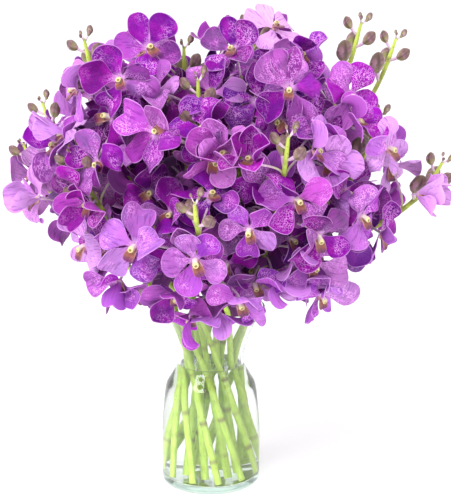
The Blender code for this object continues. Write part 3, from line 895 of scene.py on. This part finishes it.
def add_pedicel(body, path, draw):
    count = len(path)
    share = np.linspace(0, 1, count)
    radii = PEDICEL_RADIUS * (0.92 + 0.22 * smooth(0.75, 1.0, share) + 0.25 * smooth(0.12, 0.0, share))
    body.tube(path, radii, 8, SURFACES["pedicel"], start=draw.uniform(0, 1))


# -------- vase and water


def vase_outside():
    """The outer wall as (radius, height) pairs: foot, body, shoulder, neck and flare."""
    shoulder = NECK_HEIGHT - SHOULDER_START
    rise = VASE_HEIGHT - NECK_HEIGHT
    flare = MOUTH_RADIUS - NECK_RADIUS
    return [
        (BODY_RADIUS - FOOT_EDGE, 0.0),
        (BODY_RADIUS - FOOT_EDGE * 0.3, FOOT_EDGE * 0.3),
        (BODY_RADIUS, FOOT_EDGE),
        (BODY_RADIUS, SHOULDER_START * 0.8),
        *(
            (BODY_RADIUS * wide + NECK_RADIUS * (1 - wide), SHOULDER_START + shoulder * up)
            for wide, up in ((0.90, 0.17), (0.72, 0.57), (0.36, 0.75), (0.06, 0.90))
        ),
        *(
            (NECK_RADIUS + flare * wide, NECK_HEIGHT + rise * up)
            for wide, up in ((0.0, 0.0), (0.06, 0.22), (0.27, 0.48), (0.62, 0.77))
        ),
        (MOUTH_RADIUS, VASE_HEIGHT - VASE_WALL * 0.35),
    ]


def fine_profile(profile, steps=6):
    """The wall's profile as a smooth line through its points."""
    points = [Vector(p) for p in profile]
    through = padded(points)
    fine = []
    for a, b, c, d in zip(through, through[1:], through[2:], through[3:]):
        slope_b = (c - a) * ((c - b).length / max((c - b).length + (b - a).length, 1e-9))
        slope_c = (d - b) * ((c - b).length / max((d - c).length + (c - b).length, 1e-9))
        for i in range(steps):
            t = i / steps
            near = b * (2 * t**3 - 3 * t**2 + 1) + slope_b * (t**3 - 2 * t**2 + t)
            fine.append(near + c * (3 * t**2 - 2 * t**3) + slope_c * (t**3 - t**2))
    fine.append(points[-1])
    return [(p.x, p.y) for p in fine]


def turned(name, profile, surface, segments=128):
    """A closed body of turn from (radius, height) pairs, its first and last on the axis."""
    points, faces = [(0.0, 0.0, profile[0][1])], []
    rings = profile[1:-1]
    for radius, height in rings:
        for j in range(segments):
            angle = 2 * math.pi * j / segments
            points.append((radius * math.cos(angle), radius * math.sin(angle), height))
    points.append((0.0, 0.0, profile[-1][1]))
    last = len(points) - 1
    for j in range(segments):
        k = (j + 1) % segments
        faces.append((0, 1 + k, 1 + j))
        for i in range(len(rings) - 1):
            a, b = 1 + i * segments, 1 + (i + 1) * segments
            faces.append((a + j, a + k, b + k, b + j))
        a = 1 + (len(rings) - 1) * segments
        faces.append((a + j, a + k, last))
    mesh = bpy.data.meshes.new(name)
    mesh.from_pydata(points, [], faces)
    mesh.materials.append(surface)
    mesh.shade_smooth()
    mesh.set_sharp_from_angle(angle=math.radians(50))
    return linked(name, mesh)


def stand_in(piece, node):
    """Puts a clear piece in a node's place. It throws no shadow, so that the stems inside stay bright."""
    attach(piece, "root")
    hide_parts(node)
    piece.visible_shadow = False


def lower_corner(radius, height):
    """The rounded corner at the foot of a wall of this radius that stands on this height, upwards."""
    return [
        (radius - FOOT_EDGE * (1 - math.sin(a)), height + FOOT_EDGE * (1 - math.cos(a)))
        for a in np.linspace(0.0, math.pi / 2, 7)
    ]


def build_vase():
    """The glass, its profile taken up the outside, over the rounded lip and down the inside."""
    wall = fine_profile(vase_outside()[2:])
    foot = lower_corner(BODY_RADIUS, 0.0)[:-1]
    half = VASE_WALL * 0.5
    lip = [
        (MOUTH_RADIUS - half + half * math.cos(a), VASE_HEIGHT - half + half * math.sin(a))
        for a in np.linspace(0.15, math.pi - 0.15, 8)
    ]
    inside = [(r - VASE_WALL, h) for r, h in wall if h > VASE_FLOOR + FOOT_EDGE]
    floor_edge = reversed(lower_corner(BODY_RADIUS - VASE_WALL, VASE_FLOOR))
    sunk = [(BODY_RADIUS * 0.5, VASE_FLOOR + 0.0006)]
    outer = [(0.0, 0.0), (BODY_RADIUS * 0.55, 0.0), *foot, *wall[:-1]]
    profile = [*outer, *lip, *reversed(inside[:-1]), *floor_edge, *sunk, (0.0, VASE_FLOOR + 0.0008)]
    stand_in(turned("glass_vase", profile, SURFACES["glass"]), "vase")


def build_water():
    """The water, sunk a hair into the glass so that no air shows between, creeping up it at the top."""
    wall = fine_profile(vase_outside()[2:])
    low = VASE_FLOOR + FOOT_EDGE
    inside = [(r - VASE_WALL + WATER_SINK, h) for r, h in wall if low < h < WATER_TOP]
    floor_edge = lower_corner(BODY_RADIUS - VASE_WALL + WATER_SINK, VASE_FLOOR - WATER_SINK)
    edge = inside[-1][0]
    creep = ((0.0, 0.0), (0.0012, 0.0008), (0.0032, 0.0014))
    meniscus = [(edge - inward, WATER_TOP - down) for inward, down in creep]
    profile = [(0.0, VASE_FLOOR), *floor_edge, *inside, *meniscus, (0.0, WATER_TOP - MENISCUS)]
    stand_in(turned("vase_water", profile, SURFACES["water"], segments=96), "water")


# -------- the bouquet

SURFACES = {
    "tepal": tepal_material(),
    "column": column_material(),
    "lip": lip_material(),
    "stem": stem_material(),
    "pedicel": pedicel_material(),
    "bud": bud_material(),
    "cut": cut_material(),
    "glass": glass_material(),
    "water": water_material(),
    "floor": floor_material(),
}

# How deep, how red and how pale each CAD flower is, by number; the rest are drawn at random
TONES = {
    1: (0.75, 0.45, 0.00), 2: (0.35, 0.35, 0.35), 3: (0.65, 0.50, 0.00), 4: (0.55, 0.65, 0.05),
    5: (0.45, 0.95, 0.15), 6: (0.85, 0.40, 0.00), 7: (0.70, 0.55, 0.00), 8: (0.50, 0.55, 0.10),
    10: (0.35, 0.60, 0.45), 11: (0.40, 0.60, 0.35), 12: (0.70, 0.85, 0.00), 13: (0.35, 0.30, 0.60),
    14: (0.55, 0.50, 0.10), 15: (0.50, 0.30, 0.25), 16: (0.50, 0.40, 0.15), 17: (0.70, 0.40, 0.00),
    18: (0.45, 0.45, 0.20), 19: (0.45, 0.80, 0.05), 20: (0.50, 0.40, 0.20), 21: (0.60, 0.90, 0.05),
    22: (0.50, 0.45, 0.20), 23: (0.50, 0.75, 0.10), 24: (0.35, 0.40, 0.40), 25: (0.35, 0.40, 0.40),
    26: (0.30, 0.60, 0.70), 27: (0.55, 0.35, 0.10), 28: (0.60, 0.50, 0.05), 29: (0.25, 0.70, 0.75),
}


def bloom_pieces():
    """Replaces each CAD flower by a full one. Returns each one's back, facing and owner stem."""
    stems = {name: node_points(name) for name in nodes if name.startswith("stem_")}
    seats = []
    for name in sorted(n for n in nodes if n.startswith("bloom_")):
        number = int(name[-2:])
        matrix, reach, rise = flower_place(name)
        draw = random.Random(SEEDS["tone"] + number)
        drawn = (draw.uniform(0.4, 0.7), draw.uniform(0.3, 0.7), draw.uniform(0, 0.2))
        tone = TONES.get(number, drawn)
        room = min(min(at - low, high - at) for at, low, high in zip(matrix.translation, *cad_box))
        wild = WILD if room > ROOM_FOR_WILD else CALM
        seed = SEEDS["flower"] + number
        flower = make_flower(f"flower_{number:02d}", matrix, reach, rise, tone, seed, wild)
        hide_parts(name)
        facing = matrix.to_3x3().col[2].normalized()
        back = matrix.translation - facing * (TEPAL_THICKNESS + GAP)
        owner = min(stems, key=lambda s: np.linalg.norm(stems[s] - np.array(back), axis=1).min())
        seats.append((owner, back, facing))
    return seats


# Flowers between the CAD ones at the front: place above the lip's middle, heading, lift, roll (degrees),
# reach, openness, tone
BETWEEN = [
    ((-0.118, -0.116, 0.140), -60, -18, 30, 0.030, 0.30, (0.85, 0.50, 0.0)),
    ((-0.014, -0.156, 0.098), 25, 0, -30, 0.026, 0.60, (0.60, 0.60, 0.1)),
    ((0.098, -0.150, 0.107), 20, -24, 10, 0.031, 0.25, (0.80, 0.55, 0.0)),
    ((0.063, -0.112, 0.204), -20, 10, 50, 0.032, 0.20, (0.85, 0.55, 0.0)),
    ((0.100, -0.112, 0.196), 35, 20, -40, 0.031, 0.30, (0.80, 0.45, 0.0)),
    ((0.016, -0.146, 0.180), -30, 30, 15, 0.023, 1.20, (0.55, 0.90, 0.20)),
    ((0.044, -0.102, 0.222), 10, 24, 70, 0.032, 0.20, (0.80, 0.30, 0.0)),
    ((0.094, -0.136, 0.182), 50, 14, -20, 0.028, 0.70, (0.40, 0.40, 0.3)),
    ((0.002, -0.100, 0.228), -10, 36, -15, 0.031, 0.30, (0.70, 0.45, 0.1)),
    ((-0.004, -0.124, 0.200), -40, 16, 40, 0.030, 0.45, (0.90, 0.40, 0.0)),
    ((-0.034, -0.136, 0.124), -10, 6, -50, 0.031, 0.30, (0.90, 0.50, 0.0)),
    ((0.104, -0.106, 0.040), 40, -34, 12, 0.029, 0.40, (0.30, 0.30, 0.3)),
    ((-0.019, -0.112, 0.022), -14, -50, 20, 0.031, 0.35, (0.45, 0.70, 0.0)),
    ((0.008, -0.118, 0.026), 12, -58, -12, 0.028, 0.60, (0.35, 0.25, 0.3)),
    ((0.042, -0.116, 0.054), 10, -34, 30, 0.031, 0.30, (0.75, 0.35, 0.0)),
    ((0.094, -0.112, 0.052), 26, -46, 0, 0.030, 0.45, (0.35, 0.35, 0.4)),
    ((0.058, -0.118, 0.062), 6, -50, -40, 0.028, 0.70, (0.45, 0.40, 0.2)),
    ((-0.062, -0.116, 0.048), -24, -50, -30, 0.030, 0.40, (0.55, 0.40, 0.1)),
    ((-0.030, -0.130, 0.088), -20, -20, 50, 0.031, 0.25, (0.85, 0.60, 0.0)),
    ((-0.095, -0.120, 0.088), -40, -16, -45, 0.030, 0.35, (0.60, 0.70, 0.0)),
    ((-0.100, -0.128, 0.168), -30, 6, 75, 0.031, 0.30, (0.80, 0.35, 0.0)),
    ((0.052, -0.142, 0.150), 0, 12, 100, 0.031, 0.30, (0.85, 0.45, 0.0)),
    ((0.124, -0.118, 0.140), 60, -4, -70, 0.031, 0.30, (0.70, 0.60, 0.0)),
    ((0.132, -0.094, 0.200), 66, 24, 30, 0.030, 0.50, (0.35, 0.75, 0.1)),
    ((-0.090, -0.098, 0.206), -44, 22, -60, 0.031, 0.30, (0.80, 0.45, 0.0)),
    ((-0.132, -0.092, 0.190), -84, 6, -30, 0.032, 0.30, (0.40, 0.45, 0.3)),
]
DOME_CENTRE = Vector((0.004, 0.0, 0.300))
DOME_RADII = Vector((0.172, 0.150, 0.152))
# Share of the dome's radii, how near another flower may be, how many directions are tried
LAYERS = ((1.00, 0.034, 420), (0.84, 0.031, 340), (0.66, 0.031, 200), (0.44, 0.030, 110))
# How high the flowers stand across the bouquet, seen from in front and a little above
CROWN = (
    (-0.17, 0.390), (-0.15, 0.430), (-0.12, 0.445), (-0.09, 0.475), (-0.05, 0.460),
    (-0.03, 0.415), (0.00, 0.410), (0.015, 0.480), (0.05, 0.475), (0.075, 0.440),
    (0.10, 0.425), (0.125, 0.405), (0.15, 0.395), (0.17, 0.365),
)
LOOKING_DOWN = math.tan(math.radians(CAMERA_TILT))
FLOWER_ABOVE = 0.022
# The bouquet's underside: where it starts, and how fast it widens from its least half width
SKIRT_LEAST = 0.03
SKIRT_MIDDLE = 0.015
SKIRT_TILT = 0.245
SKIRT_DEPTH = {"start": 0.200, "slope": 1.6}
SKIRT_WIDTH = {"start": 0.205, "slope": 1.9}
# What fillers keep clear: the last stretch of each stem, by more in the outermost layer
TIP_STRETCH = (0.0, 0.015, 0.03, 0.045, 0.06)
TIP_ROOM = 0.033
TIP_ROOM_INSIDE = 0.024


def skirt(height, shape):
    return (height - shape["start"]) * shape["slope"] + SKIRT_LEAST


def outside_outline(centre):
    """Whether a flower here would stand below the bouquet's underside or above its crown."""
    if abs(centre.y) > skirt(centre.z, SKIRT_DEPTH):
        return True
    if abs(centre.x - SKIRT_MIDDLE) > skirt(centre.z + SKIRT_TILT * min(centre.y, 0), SKIRT_WIDTH):
        return True
    top = centre.z + centre.y * LOOKING_DOWN + FLOWER_ABOVE
    return top > np.interp(centre.x, *zip(*CROWN))


def too_near(centre, others, room):
    return min((centre - other).length for other in others) < room


def filler_pieces(seats, routes):
    """Fills the bouquet between the CAD flowers with more, inside the dome that they stand on.
    Returns each one's back and facing.
    """
    draw = random.Random(SEEDS["places"])
    taken = [back for _, back, _ in seats]
    tips = [point_along(route, back)[0] for route in routes.values() for back in TIP_STRETCH]
    made = []

    def add_filler(centre, facing, roll, reach, openness, tone, wild):
        number = len(made) + 1
        matrix = facing_matrix(centre, facing, math.radians(roll))
        seed = SEEDS["filler"] + number
        name = f"filler_flower_{number:03d}"
        make_flower(name, matrix, reach, reach * openness, tone, seed, wild)
        taken.append(centre)
        made.append((centre - facing * FILLER_BACK, facing))

    for spot, heading, lift, roll, reach, openness, tone in BETWEEN:
        around, up = math.radians(heading), math.radians(lift)
        facing = Vector(
            (math.sin(around) * math.cos(up), -math.cos(around) * math.cos(up), math.sin(up))
        )
        add_filler(placed(spot), facing, roll, reach, openness, tone, WILD_BETWEEN)
    for scale, spacing, tries in LAYERS:
        for i in range(tries):
            height = 1 - 2 * (i + 0.5) / tries
            around = i * math.pi * (3 - math.sqrt(5)) + scale * 9
            level = math.sqrt(1 - height * height)
            out = Vector((math.cos(around) * level, math.sin(around) * level, height))
            centre = DOME_CENTRE + out * DOME_RADII * (scale * draw.uniform(0.95, 1.03))
            if outside_outline(centre) or too_near(centre, taken, spacing):
                continue
            if too_near(centre, tips, TIP_ROOM if scale > 0.9 else TIP_ROOM_INSIDE):
                continue
            facing = Vector((out.x, out.y, out.z * 0.7 - 0.05))
            facing += Vector((draw.uniform(-1, 1), draw.uniform(-1, 1), draw.uniform(-1, 1))) * 1.1
            facing.normalize()
            roll = draw.uniform(-70, 70)
            openness = draw.choice((0.10, 0.20, 0.35, 0.6, 1.0, 1.6))
            reach = draw.uniform(0.027, 0.034) / math.hypot(1, openness) * (1 + 0.12 * openness)
            # Inner layers are painted deeper, and through the scale on their paleness less pale: painted
            # shade inside the bouquet, added to each flower's random tone
            depth_and_inner_shade = 0.60 + (1.0 - scale) * 1.5
            # Fillers towards the bouquet's left and right sides are painted paler: a painted highlight
            rim = float(smooth(0.09, 0.16, abs(centre.x)))
            tone = (
                min(depth_and_inner_shade + draw.uniform(-0.30, 0.30), 1.0),
                draw.uniform(0.05, 1.00),
                max(0.0, draw.uniform(-0.55, 0.45) + 0.35 * rim) * scale,
            )
            add_filler(centre, facing, roll, reach, openness, tone, WILD_INSIDE)
    return made


def spray_pieces(routes, buds, seats):
    """Replaces each CAD stem by a full spray, with a pedicel to every flower that it owns."""
    for number, (name, route) in enumerate(routes.items(), 1):
        draw = random.Random(SEEDS["spray"] + number)
        body = Body([SURFACES[key] for key in ("stem", "pedicel", "bud", "cut")])
        add_stalk(body, route, draw)
        for bud in range(buds[name]):
            back = BUD_SPACING * (bud + 0.2)
            add_bud(body, route, back, BUD_TURN * bud, BUD_SMALLEST + BUD_GROWTH * bud, draw)
        for bud in range(TIP_BUDS):
            radius = TIP_BUD_RADIUS * draw.uniform(0.8, 1.2)
            add_bud(body, route, TIP_BUD_SPACING * bud, BUD_TURN * (bud + 0.5), radius, draw)
        for owner, back, facing in seats:
            if owner == name:
                path = pedicel_path(route, back + facing * PEDICEL_REACH, facing, 12)
                add_pedicel(body, path, draw)
        spray = body.finish(f"spray_{name[-2:]}")
        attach(spray, "root")
        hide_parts(name)


def build_bouquet():
    routes, buds = {}, {}
    for ring_name, sprays in SPRAYS.items():
        for place, (tip, bud_count) in enumerate(sprays):
            name = f"stem_{len(routes) + 1:02d}"
            routes[name] = stem_route(RINGS[ring_name], place, tip)
            buds[name] = bud_count
    seats = bloom_pieces()
    for back, facing in filler_pieces(seats, routes):
        owner = min(routes, key=lambda s: min((p - back).length for p in routes[s][2:]))
        seats.append((owner, back, facing))
    spray_pieces(routes, buds, seats)


# -------- studio


def build_studio():
    mesh = bpy.data.meshes.new("studio_floor")
    corners = [(x * FLOOR_HALF, y * FLOOR_HALF, 0.0) for x, y in ((-1, -1), (1, -1), (1, 1), (-1, 1))]
    mesh.from_pydata(corners, [], [(0, 1, 2, 3)])
    mesh.materials.append(SURFACES["floor"])
    floor = linked("studio_floor", mesh)
    floor.location.z = -0.0002

    world = bpy.data.worlds.new("studio")
    world.use_nodes = True
    background = world.node_tree.nodes["Background"]
    background.inputs["Color"].default_value = (1.0, 1.0, 1.0, 1.0)
    background.inputs["Strength"].default_value = WORLD_LIGHT
    bpy.context.scene.world = world

    for name, place, size, power in LAMPS:
        light = bpy.data.lights.new(name, "AREA")
        light.shape = "DISK"
        light.size = size
        light.energy = power
        lamp = linked(name, light)
        lamp.location = place
        lamp.visible_glossy = False
        aim = LAMPS_AIM - lamp.location
        lamp.rotation_euler = aim.to_track_quat("-Z", "Y").to_euler()

    camera = bpy.data.cameras.new("camera")
    camera.lens = CAMERA_LENS
    camera.sensor_width = 36.0
    view = linked("camera", camera)
    view.location = CAMERA_PLACE
    view.rotation_euler = (math.radians(90 - CAMERA_TILT), 0.0, 0.0)
    bpy.context.scene.camera = view
    bpy.context.scene.view_settings.view_transform = "Standard"


build_vase()
build_water()
build_bouquet()
build_studio()
